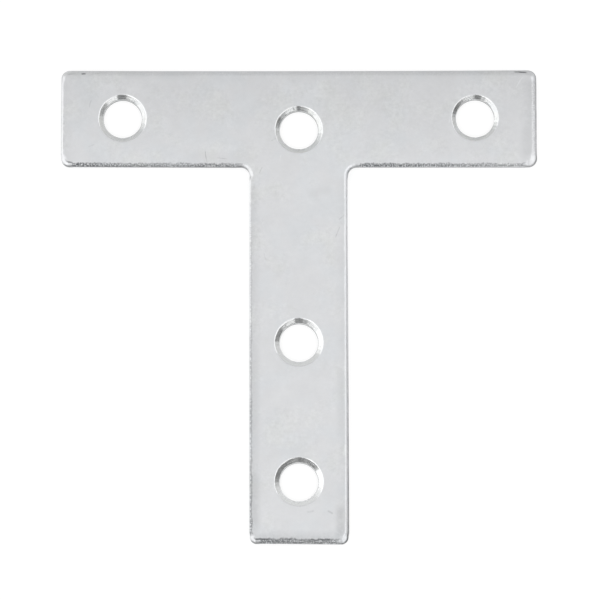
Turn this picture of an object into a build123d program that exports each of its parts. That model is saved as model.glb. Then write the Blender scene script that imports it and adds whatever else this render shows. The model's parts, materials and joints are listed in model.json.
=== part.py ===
from build123d import *
from math import radians, tan
import os

# Flat tee joining plate: one blank stamped from sheet steel, with five countersunk screw holes.
# The origin is on the axis of the junction hole, in the plane of the back face. +X runs along the
# crossbar, -Y runs down the stem, and +Z points out of the countersunk front face.

# Blank, in millimetres
crossbar_length = 80.0
overall_height = 80.0
crossbar_width = 16.5
stem_width = 16.5
thickness = 1.5

# Corners of the blank, seen from the front
crossbar_corner_radius = 1.5
stem_corner_radius = 1.2
inside_corner_radius = 1.5

# Roll-over, where the punch drew the front face down into the cut: how far it reaches in over the
# face, which it meets at a tangent, and how far down the sheared wall
roll_width = 0.9
roll_depth = 0.45

# Back edge, where tumbling took the burr off
back_break = 0.15

# Screw holes
screw_hole_diameter = 6.4
countersink_diameter = 8.1
countersink_angle = 90.0
end_hole_inset = 10.4
junction_hole_drop = 10.2
stem_hole_pitch = 23.4

# Places that follow
top_y = junction_hole_drop
crossbar_middle_y = top_y - crossbar_width / 2
crossbar_lower_y = top_y - crossbar_width
stem_end_y = top_y - overall_height
crossbar_end_x = crossbar_length / 2
stem_side_x = stem_width / 2
side_hole_x = crossbar_end_x - end_hole_inset
stem_end_hole_y = stem_end_y + end_hole_inset
stem_hole_y = stem_end_hole_y + stem_hole_pitch
hole_centres = [
    (-side_hole_x, crossbar_middle_y),
    (side_hole_x, crossbar_middle_y),
    (0, 0),
    (0, stem_hole_y),
    (0, stem_end_hole_y),
]


def blank_outline():
    """The tee's outline in the plane of the back face, clockwise from the top right corner."""
    right_corners = [
        (crossbar_end_x, top_y),
        (crossbar_end_x, crossbar_lower_y),
        (stem_side_x, crossbar_lower_y),
        (stem_side_x, stem_end_y),
    ]
    right_radii = [
        crossbar_corner_radius,
        crossbar_corner_radius,
        inside_corner_radius,
        stem_corner_radius,
    ]
    left_corners = [(-x, y) for x, y in reversed(right_corners)]
    left_radii = right_radii[::-1]
    corners = right_corners + left_corners
    return FilletPolyline(*corners, radius=right_radii + left_radii, close=True).wire()


def roll_over(outline):
    """What the roll-over takes off the front edge: one arc's section, swept round the outline."""
    start = outline @ 0
    into_metal = (outline % 0).cross(Vector(0, 0, 1))
    section_plane = Plane(origin=start, x_dir=into_metal, z_dir=-(outline % 0))
    tangent_point = (roll_width, thickness)
    lip = (0, thickness - roll_depth)
    clear_of_wall = -roll_width
    clear_of_face = thickness + roll_width
    arc = TangentArc(tangent_point, lip, tangent=(-1, 0))
    outside = Polyline(
        lip,
        (clear_of_wall, thickness - roll_depth),
        (clear_of_wall, clear_of_face),
        (roll_width, clear_of_face),
        tangent_point,
    )
    section = section_plane * make_face([*arc.edges(), *outside.edges()])
    return sweep(section, path=outline)


def tee_plate():
    """The finished plate, as one solid."""
    outline = blank_outline()
    plate = extrude(make_face(outline), amount=thickness, dir=(0, 0, 1))
    back_edges = plate.faces().sort_by(Axis.Z)[0].edges()
    plate = chamfer(back_edges, back_break)
    plate -= roll_over(outline)
    countersunk_hole = CounterSinkHole(
        radius=screw_hole_diameter / 2,
        counter_sink_radius=countersink_diameter / 2,
        counter_sink_angle=countersink_angle,
        depth=2 * thickness,
    )
    for x, y in hole_centres:
        plate -= Pos(x, y, thickness) * countersunk_hole
    return plate


os.makedirs("parts", exist_ok=True)
export_step(tee_plate(), "parts/tee_plate.step")
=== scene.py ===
"""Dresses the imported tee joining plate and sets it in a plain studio.

The plate is one stamped blank of sheet steel, zinc plated, lying on its back. Its edge is built as
the punch leaves it: rolled over at the front, sheared down the wall and torn where the cut ran
rough. Lengths in the plate's classes are in millimetres; the meshes and the studio are in metres.
"""
import sys
import json
import logging
import math
from dataclasses import astuple, dataclass, field, fields
from enum import Enum

import bpy
import numpy as np
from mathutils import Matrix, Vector, geometry


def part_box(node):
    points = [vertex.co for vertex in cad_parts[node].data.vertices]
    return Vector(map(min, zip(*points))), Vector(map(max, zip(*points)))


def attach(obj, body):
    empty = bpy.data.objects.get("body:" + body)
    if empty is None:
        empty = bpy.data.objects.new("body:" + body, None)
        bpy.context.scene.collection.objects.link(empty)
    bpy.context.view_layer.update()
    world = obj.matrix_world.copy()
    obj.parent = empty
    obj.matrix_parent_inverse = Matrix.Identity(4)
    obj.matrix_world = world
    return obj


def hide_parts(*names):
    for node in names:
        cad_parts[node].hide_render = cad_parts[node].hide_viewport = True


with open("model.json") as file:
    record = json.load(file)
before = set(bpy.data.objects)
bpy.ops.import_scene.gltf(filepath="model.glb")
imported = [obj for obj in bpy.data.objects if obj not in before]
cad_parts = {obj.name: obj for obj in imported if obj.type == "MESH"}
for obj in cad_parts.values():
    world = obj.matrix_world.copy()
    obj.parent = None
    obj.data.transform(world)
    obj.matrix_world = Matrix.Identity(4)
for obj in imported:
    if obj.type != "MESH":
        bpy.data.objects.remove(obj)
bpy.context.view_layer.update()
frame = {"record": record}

Array = np.ndarray
Socket = bpy.types.NodeSocket
Tree = bpy.types.NodeTree
Given = Socket | float | tuple[float, ...]
Cuts = dict[str, Array]

LOG = logging.getLogger("tee_plate")
MM = 0.001
NODE = "tee_plate"
BODY = "root"
# The point value line holds painted shade beside and over the roll, along the lips and in the
# holes, the seats' painted brightening below 0, and dark flecks beside torn cuts
POINT_VALUES = ("along", "inset", "torn", "lip", "line")


# ---------------------------------------------------------------------------
# Shape
# ---------------------------------------------------------------------------


class Side(Enum):
    """The sides of the tee, in the order the edge is walked, seen from the front."""

    TOP = 0
    RIGHT_END = 1
    UNDER_RIGHT = 2
    STEM_RIGHT = 3
    STEM_END = 4
    STEM_LEFT = 5
    UNDER_LEFT = 6
    LEFT_END = 7


class Zone(Enum):
    """The surfaces of the plate, as the numbers of their material slots."""

    FACE = 0
    WALL = 1
    SEAT = 2
    BACK = 3


@dataclass(frozen=True)
class EdgeCut:
    """How the punch left one side or corner of the blank.

    Attributes:
        roll_reach: how far the roll-over comes in over the face.
        roll_drop: how far the roll-over goes down the wall.
        dish_reach: how far the face sags towards the cut.
        dish_drop: how deep that sag is at the cut.
        bevel: how much the roll is a flat bevel rather than an arc, from 0 to 1.
        stray: how far the roll's inner border wanders.
        ridge: height of the drag marks in the roll.
        torn: how rough and dull the cut is; 1 is torn throughout.
        crease: how dark the painted shade line where the roll starts is, from 0 to 1.
        rim: how dark the painted shade line along the lip is, from 0 to 1.
        shade: how dark the painted shade on the face just inside the roll is, from 0 to 1.
        lean: how much further in the wall's lip stands than its foot.
        set_in: how far the wall stands in from the blank's nominal line.
        gain: how much the GROWING values grow from one end to the other.
        skew: how much further in the wall stands at the far end than halfway.
        bow: how much further in it stands halfway than at the ends.
    """

    roll_reach: float
    roll_drop: float
    dish_reach: float = 1.6
    dish_drop: float = 0.03
    bevel: float = 0.0
    stray: float = 0.03
    ridge: float = 0.001
    torn: float = 0.0
    crease: float = 0.0
    rim: float = 0.0
    shade: float = 0.0
    lean: float = 0.0
    set_in: float = 0.0
    gain: float = 0.0
    skew: float = 0.0
    bow: float = 0.0


# The cuts' crease, rim and shade are painted shade at the roll
CUTS = {
    Side.TOP: EdgeCut(0.90, 0.16, 2.8, 0.06, stray=0.05, torn=0.1, set_in=0.12, bow=0.10),
    Side.RIGHT_END: EdgeCut(
        0.88, 0.44, 2.2, 0.05, bevel=0.65, stray=0.10, ridge=0.006, torn=0.3, rim=0.45,
        shade=0.10, lean=0.03, set_in=0.04,
    ),
    Side.UNDER_RIGHT: EdgeCut(
        0.60, 0.40, 1.8, 0.05, stray=0.14, ridge=0.045, torn=0.75, crease=0.52, rim=0.08,
        set_in=-0.02, gain=0.2, skew=0.02,
    ),
    Side.STEM_RIGHT: EdgeCut(
        0.60, 0.40, 2.0, 0.05, bevel=0.58, stray=0.09, torn=0.05, rim=0.62, shade=0.05, lean=0.05,
        set_in=-0.02, gain=1.3, skew=-0.10,
    ),
    Side.STEM_END: EdgeCut(
        0.90, 0.46, 1.8, 0.05, stray=0.16, ridge=0.045, torn=1.0, crease=1.0, rim=0.1,
        shade=0.14, set_in=0.07, skew=0.07,
    ),
    Side.STEM_LEFT: EdgeCut(
        0.42, 0.12, stray=0.10, ridge=0.006, torn=0.5, crease=0.3, rim=0.40, shade=0.11,
        gain=-0.9, skew=-0.05,
    ),
    Side.UNDER_LEFT: EdgeCut(
        0.60, 0.40, 1.8, 0.05, stray=0.14, ridge=0.045, torn=1.15, crease=0.55, rim=0.6,
        set_in=0.05, gain=0.25, skew=0.08,
    ),
    Side.LEFT_END: EdgeCut(
        0.54, 0.26, 1.4, 0.02, bevel=0.45, crease=0.35, rim=0.2, shade=0.05, set_in=0.07,
        gain=-0.4,
    ),
}
CUT_FIELDS = tuple(entry.name for entry in fields(EdgeCut))
GROWING = ("torn", "crease", "rim", "lean")


def cut_rows(cut: EdgeCut, share: Array) -> Array:
    """Reads a cut's values along its side or corner.

    Args:
        cut: the cut.
        share: shares of the way along, from 0 to 1.

    Returns:
        One row of values for each share, in the order of EdgeCut's fields.
    """
    rows = np.tile(np.array(astuple(cut)), (len(share), 1))
    from_middle = 2.0 * share - 1.0
    for name in GROWING:
        rows[:, CUT_FIELDS.index(name)] *= 1.0 + cut.gain * from_middle
    drift = cut.skew * from_middle + cut.bow * 4.0 * share * (1.0 - share)
    rows[:, CUT_FIELDS.index("set_in")] += drift
    return rows


def ease(share: Array | float) -> Array | float:
    """Smooths shares from 0 to 1, so that they set off and arrive gently."""
    return share * share * (3.0 - 2.0 * share)


@dataclass(frozen=True)
class Wander:
    """A seeded, smooth random line.

    Attributes:
        pitch: distance between its turning points.
        seed: seed of the random numbers.
        size: how far it goes to each side of zero.
    """

    KNOTS = 4096

    pitch: float
    seed: int
    size: float = 1.0

    def along(self, distance: Array) -> Array:
        """Reads the line.

        Args:
            distance: distances along the edge.

        Returns:
            The line's value at each distance.
        """
        knots = np.random.default_rng(self.seed).uniform(-1.0, 1.0, self.KNOTS)
        place = np.asarray(distance, float) / self.pitch
        cell = np.floor(place).astype(int)
        part = ease(place - cell)
        drawn = knots[cell % self.KNOTS] * (1.0 - part) + knots[(cell + 1) % self.KNOTS] * part
        return self.size * drawn


# The edge's wandering lines: the roll's border, the punch's drag, and how the rest comes and goes
BORDER_LINES = (Wander(1.3, 11, 0.5), Wander(0.42, 12, 0.5), Wander(0.19, 16, 0.35))
DRAG_LINES = (Wander(0.30, 14), Wander(0.15, 15, 0.8))
TORN_LINE = Wander(6.0, 18, 0.28)
DROP_LINE = Wander(0.9, 13, 0.25)
LEAN_LINE = Wander(7.0, 17, 0.35)
CREASE_LINE = Wander(1.1, 19, 0.25)
CREASE_BREAKS = Wander(0.25, 21, 0.35)
RIM_LINE = Wander(1.7, 20, 0.20)
FLECK_LINE = Wander(0.22, 22, 0.10)


@dataclass(frozen=True)
class Corner:
    """One rounded corner of the blank.

    Attributes:
        x: where its two sides would meet, across the plate.
        y: the same, along the stem.
        radius: radius of the corner.
        outside: True for an outside corner.
        cut: how the punch left it.
    """

    x: float
    y: float
    radius: float
    outside: bool
    cut: EdgeCut


@dataclass(frozen=True)
class RunEnd:
    """One end of a straight run of the outline.

    Attributes:
        point: where it is.
        row: the cut's values beyond it.
        room: the deepest inset there.
    """

    point: Array
    row: Array
    room: float


@dataclass(frozen=True)
class EdgeWalk:
    """The outline sampled all the way round, clockwise from the middle of the top side.

    Attributes:
        points: places in the plane of the back face, one row each.
        outward: unit directions out of the metal.
        along: distance walked to each point.
        cuts: the cut's values at each point, by the names of EdgeCut's fields.
        room: the deepest inset that keeps its rows apart round the outside corners.
    """

    points: Array
    outward: Array
    along: Array
    cuts: Cuts
    room: Array


@dataclass
class Blank:
    """The tee's outline: its sizes, and the walk round it.

    Attributes:
        low: lowest corner of the plate.
        high: highest corner of the plate.
        crossbar_width: width of the bar.
        stem_width: width of the stem.
        bar_corner: radius of the bar's outside corners.
        stem_corner: radius of the stem's outside corners.
        inside_corner: radius of the two inside corners.
        smooth_step: spacing of the points on a clean side.
        torn_step: spacing of the points on a torn side and in the corners.
        torn_from: how torn a side is to need the closer spacing.
        corner_blend: length over which a corner's cut passes into a side's.
        corner_room: share of an outside corner's radius that an inset may take.
        plenty: an inset deeper than any that is used.
    """

    low: Vector
    high: Vector
    crossbar_width: float = 16.5
    stem_width: float = 16.5
    bar_corner: float = 1.5
    stem_corner: float = 1.2
    inside_corner: float = 1.5
    smooth_step: float = 0.16
    torn_step: float = 0.07
    torn_from: float = 0.2
    corner_blend: float = 0.9
    corner_room: float = 0.92
    plenty: float = 9.0

    def corners(self) -> list[Corner]:
        """Lists the corners in the order they are walked.

        Returns:
            The corners, clockwise from the right end of the top side.
        """
        right, left = self.high.x, self.low.x
        top, bottom = self.high.y, self.low.y
        shelf = top - self.crossbar_width
        half = self.stem_width / 2
        bar, stem, inside = self.bar_corner, self.stem_corner, self.inside_corner
        # The corners' crease, rim and shade are painted shade at the roll
        top_right = EdgeCut(0.95, 0.46, bevel=0.5, rim=0.8, lean=0.03, set_in=0.08)
        bar_right = EdgeCut(1.10, 0.50, bevel=1.0, rim=0.5, lean=0.02, gain=-0.8)
        inside_right = EdgeCut(0.64, 0.42, bevel=0.75, rim=0.80)
        stem_right = EdgeCut(1.00, 0.48, bevel=1.0, rim=0.7, lean=0.04, gain=-0.7)
        stem_left = EdgeCut(
            0.90, 0.46, bevel=0.9, crease=1.0, rim=0.28, shade=0.15, set_in=0.10, gain=-0.8
        )
        inside_left = EdgeCut(0.62, 0.42, bevel=0.7, crease=0.2, rim=0.35, gain=1.5)
        bar_left = EdgeCut(
            0.88, 0.46, bevel=0.9, crease=1.0, rim=0.36, shade=0.05, set_in=0.10, gain=-0.8
        )
        top_left = EdgeCut(0.80, 0.40, bevel=0.15, rim=0.30, set_in=0.08)
        return [
            Corner(right, top, bar, True, top_right),
            Corner(right, shelf, bar, True, bar_right),
            Corner(half, shelf, inside, False, inside_right),
            Corner(half, bottom, stem, True, stem_right),
            Corner(-half, bottom, stem, True, stem_left),
            Corner(-half, shelf, inside, False, inside_left),
            Corner(left, shelf, bar, True, bar_left),
            Corner(left, top, bar, True, top_left),
        ]

    def walk(self) -> EdgeWalk:
        """Walks the outline.

        Returns:
            The sampled outline, with the cut at each point.
        """
        corners, sides = self.corners(), [CUTS[side] for side in Side]
        middle_row = cut_rows(sides[0], np.array([0.5]))[0]
        start = RunEnd(np.array([0.0, self.high.y]), middle_row, self.plenty)
        begin, pieces = start, []
        for index, corner in enumerate(corners):
            place = np.array([corner.x, corner.y])
            ahead = corners[(index + 1) % len(corners)]
            coming, following = place - begin.point, np.array([ahead.x, ahead.y]) - place
            coming /= np.linalg.norm(coming)
            following /= np.linalg.norm(following)
            arc_start = place - coming * corner.radius
            ends = cut_rows(corner.cut, np.array([0.0, 1.0]))
            room = corner.radius * self.corner_room if corner.outside else self.plenty
            from_share = 0.0 if index else 0.5
            arc_begin = RunEnd(arc_start, ends[0], room)
            pieces.append(self._run(sides[index], (from_share, 1.0), begin, arc_begin))
            count = int(corner.radius * math.pi / 2 / self.torn_step)
            share = np.arange(count) / count
            turned = (math.pi / 2 * share)[:, None]
            away = coming * np.sin(turned) - following * np.cos(turned)
            centre = arc_start + following * corner.radius
            outward = away if corner.outside else -away
            rows = cut_rows(corner.cut, share)
            pieces.append((centre + away * corner.radius, outward, rows, np.full(count, room)))
            begin = RunEnd(place + following * corner.radius, ends[1], room)
        pieces.append(self._run(sides[0], (0.0, 0.5), begin, start))
        points, outward, rows, room = (np.concatenate(parts) for parts in zip(*pieces))
        gaps = np.linalg.norm(np.diff(points, axis=0), axis=1)
        along = np.concatenate([[0.0], np.cumsum(gaps)])
        return EdgeWalk(points, outward, along, dict(zip(CUT_FIELDS, rows.T)), room)

    def _run(
        self, cut: EdgeCut, span: tuple[float, float], begin: RunEnd, end: RunEnd
    ) -> tuple[Array, Array, Array, Array]:
        """Samples one straight run, without its last point.

        Args:
            cut: the side's own cut.
            span: shares of the side at which the run begins and ends.
            begin: the end that it sets off from.
            end: the end that it comes to.

        Returns:
            The points, outward directions, cut rows and deepest insets.
        """
        length = float(np.linalg.norm(end.point - begin.point))
        heading = (end.point - begin.point) / length
        step = self.torn_step if cut.torn > self.torn_from else self.smooth_step
        count = max(1, round(length / step))
        gone = length * np.arange(count) / count
        points = begin.point + heading * gone[:, None]
        rows = cut_rows(cut, span[0] + (span[1] - span[0]) * gone / length)
        for other, gap in ((begin.row, gone), (end.row, length - gone)):
            part = ease(np.clip(gap / self.corner_blend, 0.0, 1.0))[:, None]
            rows = other * (1.0 - part) + rows * part
        outward = np.tile([-heading[1], heading[0]], (count, 1))
        return points, outward, rows, np.minimum(begin.room + gone, end.room + length - gone)


@dataclass(frozen=True)
class ScrewHole:
    """One countersunk hole.

    Attributes:
        x: centre across the plate.
        y: centre along the stem.
        bore_radius: radius of the hole under the seat.
        seat_radius: radius of the seat at the face.
        seat_slope: how steeply the seat's broad part goes down, in degrees.
        land: length of the bore under the seat.
        shine: how much brighter the seat is painted than a plain one.
        seed: seed of the cutter's chatter.
    """

    x: float
    y: float
    bore_radius: float
    seat_radius: float
    seat_slope: float
    land: float
    shine: float
    seed: int


@dataclass(frozen=True)
class Nick:
    """A small dent on the roll-over of the top side.

    Attributes:
        x: place across the plate.
        inset: distance in from the wall.
        length: half its length along the edge.
        width: half its width.
        depth: depth at its middle.
    """

    x: float
    inset: float
    length: float
    width: float
    depth: float

    def fall(self, x: Array, inset: Array) -> Array:
        """Works out how deep the dent is at given places along the top side.

        Args:
            x: places across the plate.
            inset: distances in from the wall.

        Returns:
            The depth at each place.
        """
        across = (x - self.x) / self.length
        inwards = (inset - self.inset) / self.width
        return self.depth * np.exp(-(across**2) - inwards**2)


NICKS = (
    Nick(-36.4, 0.50, 0.42, 0.11, 0.030),
    Nick(-34.3, 0.48, 0.30, 0.10, 0.022),
    Nick(37.4, 0.34, 0.95, 0.12, 0.035),
    Nick(31.5, 0.42, 0.35, 0.10, 0.012),
)


@dataclass(frozen=True)
class Mark:
    """One mark on the face: a thin scratch, a wide and faint smudge, or a soft patch of painted
    light or painted shade.

    Attributes:
        x: its middle across the plate.
        y: its middle along the stem.
        turn: its direction in degrees from +X.
        length: how long it is.
        width: half its width.
        bow: how much it curves.
        tone: how bright it shows, up to 1, or how dark, down to -1.
    """

    x: float
    y: float
    turn: float
    length: float
    width: float
    bow: float
    tone: float


# Thin marks: scratches and dark nicks, and one painted highlight, the glint on the right hole's rim
SCRATCHES_AND_PAINTED_GLINT = (
    Mark(37.0, 8.0, 58.0, 2.8, 0.13, 0.10, 0.55),
    Mark(36.1, 8.9, 15.0, 1.2, 0.10, 0.0, 0.40),
    Mark(-3.1, -4.8, 75.0, 1.2, 0.10, 0.0, 0.80),
    # A painted highlight: the glint on the chamfer at the right hole's left rim
    Mark(25.3, 1.6, 85.0, 1.4, 0.20, 0.0, 0.60),
    Mark(37.3, 9.74, -3.0, 2.6, 0.20, 0.0, -0.9),
    Mark(-36.2, 9.54, 4.0, 0.9, 0.20, 0.0, -1.0),
    Mark(-38.2, 9.50, 8.0, 1.6, 0.14, 0.0, -0.25),
    Mark(-33.9, 9.62, 2.0, 1.0, 0.14, 0.0, -0.35),
    Mark(-15.6, -4.6, 100.0, 2.4, 0.10, 0.05, -0.40),
    Mark(-12.8, -4.9, 172.0, 2.0, 0.12, 0.0, -0.25),
    Mark(-35.1, 4.4, 75.0, 1.8, 0.16, 0.15, -0.16),
    Mark(-34.8, -2.7, 20.0, 1.3, 0.16, 0.0, -0.13),
    Mark(6.5, -17.4, 68.0, 2.4, 0.14, 0.0, -0.24),
    Mark(7.2, -14.9, 40.0, 1.6, 0.14, 0.0, -0.20),
    Mark(-5.7, -21.6, 110.0, 1.4, 0.16, 0.2, -0.20),
    Mark(-4.2, -1.7, 30.0, 1.2, 0.16, 0.0, -0.18),
    Mark(-6.4, -6.9, 66.0, 1.5, 0.14, 0.1, -0.20),
    Mark(5.2, -64.5, 150.0, 1.3, 0.26, 0.0, -0.22),
    Mark(1.9, -64.4, 10.0, 1.5, 0.26, 0.0, -0.16),
)
# Soft marks: the three bright ones over the bar's holes are painted light, the dark ones along the
# edges are painted shade beside the roll, and the last two are faint darker patches
PAINTED_SHADING_AND_SMUDGES = (
    Mark(-30.2, 6.9, 0.0, 9.0, 3.0, 0.0, 0.16),
    Mark(0.5, 6.6, 0.0, 10.0, 3.0, 0.0, 0.14),
    Mark(29.8, 6.9, 0.0, 9.0, 3.0, 0.0, 0.16),
    Mark(-14.0, -4.9, 0.0, 13.0, 1.8, 0.0, -0.06),
    Mark(-24.0, 9.3, 0.0, 15.0, 0.9, 0.0, -0.06),
    Mark(-38.0, 9.3, 0.0, 4.0, 0.9, 0.0, -0.06),
    Mark(26.0, 9.3, 0.0, 24.0, 0.8, 0.0, -0.04),
    Mark(38.0, -2.4, 90.0, 8.0, 1.2, 0.0, -0.09),
    Mark(6.9, -66.3, 90.0, 7.0, 1.3, 0.0, -0.20),
    Mark(-7.2, -62.6, 90.0, 12.0, 1.4, 0.0, -0.12),
    Mark(-7.2, -46.0, 90.0, 22.0, 1.2, 0.0, -0.06),
    Mark(7.0, -46.4, 90.0, 14.0, 1.3, 0.0, -0.07),
    Mark(-1.4, -54.2, 0.0, 8.0, 2.0, 0.0, -0.05),
    Mark(3.4, -10.6, 20.0, 5.0, 1.2, 0.0, -0.05),
)


def add_object(name: str, data: bpy.types.ID) -> bpy.types.Object:
    """Makes an object and links it to the scene.

    Args:
        name: name of the object.
        data: its mesh, lamp or camera.

    Returns:
        The object.
    """
    made = bpy.data.objects.new(name, data)
    bpy.context.scene.collection.objects.link(made)
    return made


@dataclass
class MeshSheet:
    """Vertices, faces and point values gathered for one mesh.

    Attributes:
        points: places of the vertices, a batch at a time.
        values: point values by name, in the same batches.
        faces: vertex numbers of each face.
        zones: number of each face's surface.
        count: vertices gathered so far.
    """

    points: list[Array] = field(default_factory=list)
    values: dict[str, list[Array]] = field(default_factory=dict)
    faces: list[tuple[int, ...]] = field(default_factory=list)
    zones: list[int] = field(default_factory=list)
    count: int = 0

    def add_points(self, places: Array, **values: Array | float) -> Array:
        """Adds vertices.

        Args:
            places: one row of x, y and z a vertex.
            **values: point values by name, each one number or one a vertex.

        Returns:
            The vertices' numbers.
        """
        numbers = np.arange(self.count, self.count + len(places))
        self.points.append(np.asarray(places, float))
        for name in POINT_VALUES:
            filled = np.broadcast_to(np.asarray(values.get(name, 0.0), float), (len(places),))
            self.values.setdefault(name, []).append(filled)
        self.count += len(places)
        return numbers

    def add_faces(self, corners: Array, zone: Zone) -> None:
        """Adds one surface's faces, each a row of vertex numbers."""
        self.faces.extend(map(tuple, corners.tolist()))
        self.zones.extend([zone.value] * len(corners))

    def add_band(self, rows: list[tuple[Array, Zone]]) -> None:
        """Joins closed rows of vertices with quads.

        Args:
            rows: vertex numbers of each row, and the surface from it to the next row.
        """
        for (upper, zone), (lower, _) in zip(rows, rows[1:]):
            strip = [upper, np.roll(upper, -1), np.roll(lower, -1), lower]
            self.add_faces(np.stack(strip, axis=1), zone)

    def build(self, name: str) -> bpy.types.Object:
        """Writes the mesh.

        Args:
            name: name of the object.

        Returns:
            The new object, linked to the scene.
        """
        mesh = bpy.data.meshes.new(name)
        places = np.concatenate(self.points) * MM
        mesh.from_pydata(places.tolist(), [], self.faces)
        mesh.polygons.foreach_set("material_index", self.zones)
        for value_name, parts in self.values.items():
            attribute = mesh.attributes.new(value_name, "FLOAT", "POINT")
            attribute.data.foreach_set("value", np.concatenate(parts).astype(np.float32))
        mesh.update()
        return add_object(name, mesh)


@dataclass(frozen=True)
class Scatter:
    """How one face's own points are scattered.

    Attributes:
        rows: rows beside the cut: how far in from the roll, and how many points apart.
        pitch: spacing of the open grid.
        jitter: how far the grid's points stray, as a share of the pitch.
        least: how far in from the roll the points begin.
        open_from: how far in from the outline the open grid begins.
        hole_gap: how far from the seats the points stay.
        rim_gap: how far from the bounding rows they stay, as a share of the pitch.
        margin: how far in from the plate's box the grid starts.
        seed: seed of the grid's straying.
    """

    rows: tuple[tuple[float, int], ...]
    pitch: float
    least: float
    open_from: float
    jitter: float = 0.18
    hole_gap: float = 0.75
    rim_gap: float = 0.22
    margin: float = 0.6
    seed: int = 5


FRONT_SCATTER = Scatter(((0.62, 3), (1.0, 4), (1.5, 6)), 0.9, 0.42, 2.6)
BACK_SCATTER = Scatter((), 2.4, 0.8, 1.2)


@dataclass
class PlateMesh:
    """Builds the plate's closed surface.

    Attributes:
        blank: the outline.
        holes: the countersunk holes.
        thickness: thickness of the sheet.
        back_break: bevel round the back edge.
        arc_rows: steps across the roll-over.
        wall_rows: steps down the sheared wall.
        hole_steps: steps round each hole.
        shade_reach: how far in over the face the painted shade beside the roll reaches.
        wall_grain: depth of the drag marks in the wall.
        sharp_angle: faces that meet at more degrees than this keep a sharp edge.
    """

    # Rows in the face beside the roll: how far in from it, and how brightly torn metal glints
    FACE_ROWS = ((0.34, 0.75), (0.10, 1.0))
    # A bevelled roll's fall, as shares of the drop that grow with powers of the way out
    BEVEL_FALL = ((0.8, 1.1), (0.2, 8))
    # Shares of the way over the roll: middle of the painted crease shade, start of the painted lip
    # shade, its run-in
    CREASE_AT = 0.20
    LIP_LINE_AT = 0.76
    LIP_LINE_OVER = 0.16
    # Rows of the back edge, in shares of its break: how far in, how high, how rubbed, how torn
    BREAK_ROWS = ((0.35, 0.3, 0.6, 0.3, Zone.WALL), (1.0, 0.0, 0.3, 0.1, Zone.BACK))
    BACK_MARGIN = 0.35
    # The painted crease shade's darkness before it wanders, and the wandering above which the roll
    # is smooth
    CREASE_LEVEL = 0.80
    DRAG_LEVEL = 0.6
    # Depth of the strip along the top side that takes the nicks
    NICK_STRIP = 3.0
    # Room kept in narrow places inside the roll's border, and between the rows there
    BORDER_ROOM = 0.12
    ROW_ROOM = 0.03
    # How brightly torn metal is rubbed beside the roll, and how its flecks shift from row to row
    BORDER_RUB = 0.9
    FLECK_SHIFT = 3.0
    # How much of the torn look the roll takes at its border, how fast that grows, and the wall's
    ROLL_ROUGH = 0.4
    ROLL_ROUGHENS = 2.0
    WALL_ROUGH = 0.7
    # Share of the wall's grain that clean metal keeps
    CLEAN_GRAIN = 0.3

    # What the triangulation gives back, the triangles in the outlines, and its tolerance
    IN_OUTLINES = 1
    TOLERANCE = 1e-7

    # Rows of a hole's front rim: beyond the seat, share of the chatter, depth, rub and surface
    RIM_ROWS = (
        (0.55, 0.0, 0.0, 0.0, Zone.FACE),
        (0.16, 0.0, 0.0, 0.0, Zone.FACE),
        (0.05, 0.6, 0.004, 0.5, Zone.FACE),
        (-0.02, 0.8, 0.025, 1.0, Zone.SEAT),
    )
    # Shares of the way down the broad part of a seat
    SEAT_STEPS = (0.12, 0.24, 0.36, 0.48, 0.60, 0.72, 0.84, 0.93)
    # The cutter's marks in a seat: chatter, its falling off, its lobes, rings' depth and waver
    CHATTER = 0.020
    CHATTER_FALL = 0.7
    CHATTER_LOBES = range(5, 50)
    GROOVE = 0.003
    WAVER = 0.004
    # Pitch of the waver, its seeds for each hole, and how suddenly the chatter ends at the foot
    WAVER_PITCH = 0.8
    WAVER_SEEDS = 40
    CHATTER_END = 6
    # Rows at a hole's back: beyond the bore, height, rub, darkness and surface
    BACK_RIM_ROWS = (
        (0.0, 0.08, 0.3, 0.2, Zone.WALL),
        (0.07, 0.0, 0.5, 0.2, Zone.BACK),
        (0.5, 0.0, 0.0, 0.0, Zone.BACK),
    )

    blank: Blank
    holes: list[ScrewHole]
    thickness: float
    back_break: float = 0.15
    arc_rows: int = 9
    wall_rows: int = 5
    hole_steps: int = 144
    shade_reach: float = 1.5
    wall_grain: float = 0.010
    sharp_angle: float = 38.0

    def build(self, name: str) -> bpy.types.Object:
        """Builds the plate.

        Args:
            name: name of the piece.

        Returns:
            The finished mesh object.
        """
        sheet, walk = MeshSheet(), self.blank.walk()
        bands = [self._edge_band(sheet, walk)]
        bands += [self._hole_band(sheet, hole) for hole in self.holes]
        self._face(sheet, walk, [band[0][0] for band in bands], front=True)
        self._face(sheet, walk, [band[-1][0] for band in bands], front=False)
        piece = sheet.build(name)
        piece.data.polygons.foreach_set("use_smooth", [True] * len(piece.data.polygons))
        piece.data.set_sharp_from_angle(angle=math.radians(self.sharp_angle))
        return piece

    @staticmethod
    def _roll_border(cuts: Cuts) -> Array:
        """Gives how far in from the outline the roll-over ends."""
        return cuts["roll_reach"] + cuts["set_in"] + cuts["lean"]

    def _sag(self, inset: Array, cuts: Cuts) -> Array:
        """Works out how far the face has sagged towards the cut, at each inset."""
        share = np.clip(1.0 - inset / cuts["dish_reach"], 0.0, 1.0)
        return cuts["dish_drop"] * share * share

    def _shade(self, inset: Array, cuts: Cuts) -> Array:
        """Works out how dark the painted shade on the face beside the roll is, at each inset."""
        gap = np.maximum(inset - self._roll_border(cuts), 0.0)
        return cuts["shade"] * np.clip(1.0 - gap / self.shade_reach, 0.0, 1.0)

    def _roll(self, inset: Array, cuts: Cuts) -> Array:
        """Works out the roll-over's fall at points that the band leaves to the face.

        Args:
            inset: distances in from the outline.
            cuts: the cut's values at each point.

        Returns:
            The fall at each point, 0 beyond the roll.
        """
        reach, drop = cuts["roll_reach"], cuts["roll_drop"]
        radius = reach / np.sin(2.0 * np.arctan2(drop, reach))
        over = np.clip(self._roll_border(cuts) - inset, 0.0, reach)
        return radius - np.sqrt(radius * radius - over * over)

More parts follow.
